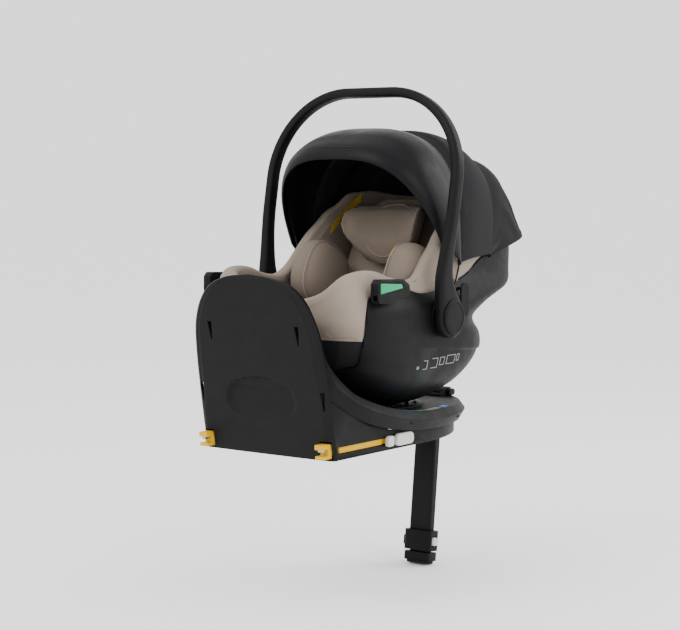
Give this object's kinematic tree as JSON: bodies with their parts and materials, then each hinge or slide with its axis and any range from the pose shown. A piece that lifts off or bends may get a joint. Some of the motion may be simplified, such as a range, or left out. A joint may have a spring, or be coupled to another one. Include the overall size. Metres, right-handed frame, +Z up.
{
  "type": "infant car seat",
  "caption": "Rear-facing infant carrier with fold-down carry handle and canopy, on a swivelling base with sliding connectors and a telescopic support leg.",
  "frame": {"origin": "on the base's underside plane, straight below the swivel axis", "axes": "+Z up, +X the occupant's left, +Y towards the carrier's head end and the support leg, -Y towards the tall panel"},
  "size_m": [0.46, 0.7175, 0.9926],
  "materials": {
    "base_plastic": "fine moulded grain",
    "panel_plastic": "fine moulded grain",
    "shell_plastic": "fine moulded grain",
    "handle_plastic": "satin",
    "trim_plastic": "satin",
    "grip_plastic": "satin",
    "green_plastic": "satin",
    "buckle_red": "gloss",
    "isofix_yellow": "satin",
    "visor_shell": "satin moulded foam skin",
    "canopy_fabric": "plain weave",
    "cover_fabric": "fine melange knit",
    "webbing": "woven tape",
    "foam": "expanded bead foam",
    "steel": "zinc plated",
    "leg_metal": "powder coat",
    "foot_rubber": "moulded"
  },
  "bodies": {
    "base": {"base_upper_shell": "base_plastic", "base_lower_shell": "base_plastic", "leg_bracket": "base_plastic", "backrest_panel": "panel_plastic", "release_housing": "trim_plastic", "base_screws": "steel", "leg_pivot_pin": "steel"},
    "release_button": {"release_button": "trim_plastic"},
    "turntable": {"turntable": "base_plastic", "turntable_ring": "trim_plastic", "carrier_latch_fingers": "steel"},
    "leg_upper": {"leg_outer_tube": "leg_metal", "leg_clamp": "trim_plastic"},
    "leg_button": {"leg_release_button": "grip_plastic"},
    "leg_lever": {"leg_lock_lever": "trim_plastic"},
    "leg_lower": {"leg_inner_tube": "leg_metal", "leg_foot": "trim_plastic", "leg_foot_pad": "foot_rubber"},
    "carrier": {"carrier_shell": "shell_plastic", "foam_liner": "foam", "seat_cover": "cover_fabric", "seat_pad": "cover_fabric", "back_pad": "cover_fabric", "buckle_housing": "trim_plastic", "crotch_strap": "webbing", "adjuster_housing": "trim_plastic", "side_bolster_left": "cover_fabric", "shoulder_strap_left": "webbing", "shoulder_pad_left": "cover_fabric", "belt_hook_left": "shell_plastic", "belt_guide_insert_left": "green_plastic", "handle_socket_left": "shell_plastic", "canopy_pivot_left": "shell_plastic", "side_bolster_right": "cover_fabric", "shoulder_strap_right": "webbing", "shoulder_pad_right": "cover_fabric", "belt_hook_right": "shell_plastic", "belt_guide_insert_right": "green_plastic", "handle_socket_right": "shell_plastic", "canopy_pivot_right": "shell_plastic"},
    "adjuster_button": {"adjuster_button": "grip_plastic"},
    "buckle_button": {"buckle_button": "buckle_red"},
    "headrest": {"headrest_plate": "shell_plastic", "headrest_pad": "cover_fabric"},
    "handle": {"carry_handle": "handle_plastic"},
    "canopy_front": {"canopy_front_bow": "steel", "canopy_visor": "visor_shell", "canopy_fabric": "canopy_fabric"},
    "canopy_middle": {"canopy_middle_bow": "steel"},
    "isofix_arm_left": {"isofix_arm_left": "isofix_yellow", "isofix_grip_left": "grip_plastic"},
    "isofix_button_left": {"isofix_button_left": "grip_plastic"},
    "isofix_hook_left": {"isofix_hook_left": "steel"},
    "handle_button_left": {"handle_button_left": "handle_plastic"},
    "isofix_arm_right": {"isofix_arm_right": "isofix_yellow", "isofix_grip_right": "grip_plastic"},
    "isofix_button_right": {"isofix_button_right": "grip_plastic"},
    "isofix_hook_right": {"isofix_hook_right": "steel"},
    "handle_button_right": {"handle_button_right": "handle_plastic"}
  },
  "joints": [
    {"name": "base_swivel", "type": "hinge", "parent": "base", "child": "turntable", "pos_m": [0, 0, 0.05], "axis": [0, 0, 1], "range_deg": [-90, 90]},
    {"name": "carrier_lift", "type": "slide", "parent": "turntable", "child": "carrier", "axis": [0, 0, 1], "range_m": [0, 0.2]},
    {"name": "release_press", "type": "slide", "parent": "base", "child": "release_button", "axis": [-1, 0, 0], "range_m": [0, 0.004], "stiffness_N_per_m": 300},
    {"name": "leg_fold", "type": "hinge", "parent": "base", "child": "leg_upper", "pos_m": [0, 0.22314, 0.00605], "axis": [1, 0, 0], "range_deg": [-72, 8]},
    {"name": "leg_extend", "type": "slide", "parent": "leg_upper", "child": "leg_lower", "axis": [0, -0.108, -0.9942], "range_m": [0, 0.15]},
    {"name": "leg_button_press", "type": "slide", "parent": "leg_upper", "child": "leg_button", "axis": [-1, 0, 0], "range_m": [0, 0.003], "stiffness_N_per_m": 300},
    {"name": "leg_lever_turn", "type": "hinge", "parent": "leg_upper", "child": "leg_lever", "pos_m": [-0.0367, 0.1955, -0.2495], "axis": [1, 0, 0], "range_deg": [0, 30]},
    {"name": "handle_fold", "type": "hinge", "parent": "carrier", "child": "handle", "pos_m": [0, -0.028, 0.25], "axis": [1, 0, 0], "range_deg": [-112, 35]},
    {"name": "canopy_fold", "type": "hinge", "parent": "carrier", "child": "canopy_front", "pos_m": [0, 0.045, 0.3], "axis": [1, 0, 0], "range_deg": [-46, 0], "deforming": ["canopy_fabric"]},
    {"name": "canopy_middle_fold", "type": "hinge", "parent": "carrier", "child": "canopy_middle", "pos_m": [0, 0.045, 0.3], "axis": [1, 0, 0], "range_deg": [-23, 0]},
    {"name": "headrest_slide", "type": "slide", "parent": "carrier", "child": "headrest", "axis": [0, 0.4927, 0.8702], "range_m": [0, 0.05]},
    {"name": "buckle_press", "type": "slide", "parent": "carrier", "child": "buckle_button", "axis": [0, 0.9781, -0.208], "range_m": [0, 0.002], "stiffness_N_per_m": 300},
    {"name": "adjuster_press", "type": "slide", "parent": "carrier", "child": "adjuster_button", "axis": [0, 0, -1], "range_m": [0, 0.0015], "stiffness_N_per_m": 300},
    {"name": "handle_button_press_left", "type": "slide", "parent": "handle", "child": "handle_button_left", "axis": [-1, 0, 0], "range_m": [0, 0.003], "stiffness_N_per_m": 300},
    {"name": "isofix_slide_left", "type": "slide", "parent": "base", "child": "isofix_arm_left", "axis": [0, -1, 0], "range_m": [0, 0.09]},
    {"name": "isofix_button_press_left", "type": "slide", "parent": "isofix_arm_left", "child": "isofix_button_left", "axis": [0, 1, 0], "range_m": [0, 0.004], "stiffness_N_per_m": 300},
    {"name": "isofix_hook_turn_left", "type": "hinge", "parent": "isofix_arm_left", "child": "isofix_hook_left", "pos_m": [0.14, -0.326, 0.021], "axis": [1, 0, 0], "range_deg": [0, 20], "stiffness_Nm_per_rad": 0.05},
    {"name": "handle_button_press_right", "type": "slide", "parent": "handle", "child": "handle_button_right", "axis": [1, 0, 0], "range_m": [0, 0.003], "stiffness_N_per_m": 300},
    {"name": "isofix_slide_right", "type": "slide", "parent": "base", "child": "isofix_arm_right", "axis": [0, -1, 0], "range_m": [0, 0.09]},
    {"name": "isofix_button_press_right", "type": "slide", "parent": "isofix_arm_right", "child": "isofix_button_right", "axis": [0, 1, 0], "range_m": [0, 0.004], "stiffness_N_per_m": 300},
    {"name": "isofix_hook_turn_right", "type": "hinge", "parent": "isofix_arm_right", "child": "isofix_hook_right", "pos_m": [-0.14, -0.326, 0.021], "axis": [1, 0, 0], "range_deg": [0, 20], "stiffness_Nm_per_rad": 0.05}
  ],
  "couplings": [
    {"joint": "canopy_middle_fold", "follows": "canopy_fold", "ratio": 0.5}
  ]
}
